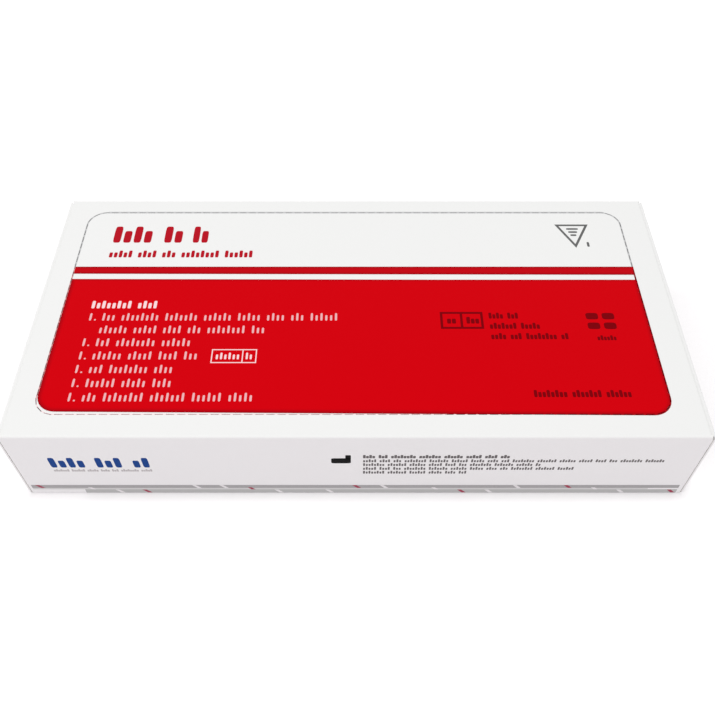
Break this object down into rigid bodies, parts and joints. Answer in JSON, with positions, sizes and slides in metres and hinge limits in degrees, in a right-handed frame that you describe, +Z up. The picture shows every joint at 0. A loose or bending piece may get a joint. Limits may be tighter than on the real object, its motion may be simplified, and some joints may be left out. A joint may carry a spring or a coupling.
{
  "type": "test kit carton",
  "caption": "Flat folding carton for a rapid test kit, with a tuck flap at each end, a perforated tear-out panel in the top and the kit's pieces inside.",
  "frame": {"origin": "middle of the underside, where the carton stands", "axes": "+X along the carton to the right end, +Y from the front wall to the back wall, +Z up"},
  "size_m": [0.2, 0.0976, 0.032],
  "materials": {
    "board": "satin",
    "red_ink": "satin",
    "leaflet_paper": "matte",
    "foil": "satin",
    "wrapper_paper": "matte",
    "tube_plastic": "satin",
    "ampoule_plastic": "satin"
  },
  "bodies": {
    "carton": {"carton": "board", "red_print": "red_ink", "leaflet": "leaflet_paper", "foil_pouch": "foil", "swab_wrapper": "wrapper_paper", "extraction_tube": "tube_plastic", "buffer_ampoule_a": "ampoule_plastic", "buffer_ampoule_b": "ampoule_plastic"},
    "left_flap": {"left_tuck_flap": "board"},
    "right_flap": {"right_tuck_flap": "board"}
  },
  "joints": [
    {"name": "left_flap_hinge", "type": "hinge", "parent": "carton", "child": "left_flap", "pos_m": [-0.1, 0, 0], "axis": [0, -1, 0], "range_deg": [0, 90]},
    {"name": "right_flap_hinge", "type": "hinge", "parent": "carton", "child": "right_flap", "pos_m": [0.1, 0, 0], "axis": [0, 1, 0], "range_deg": [0, 90]}
  ]
}
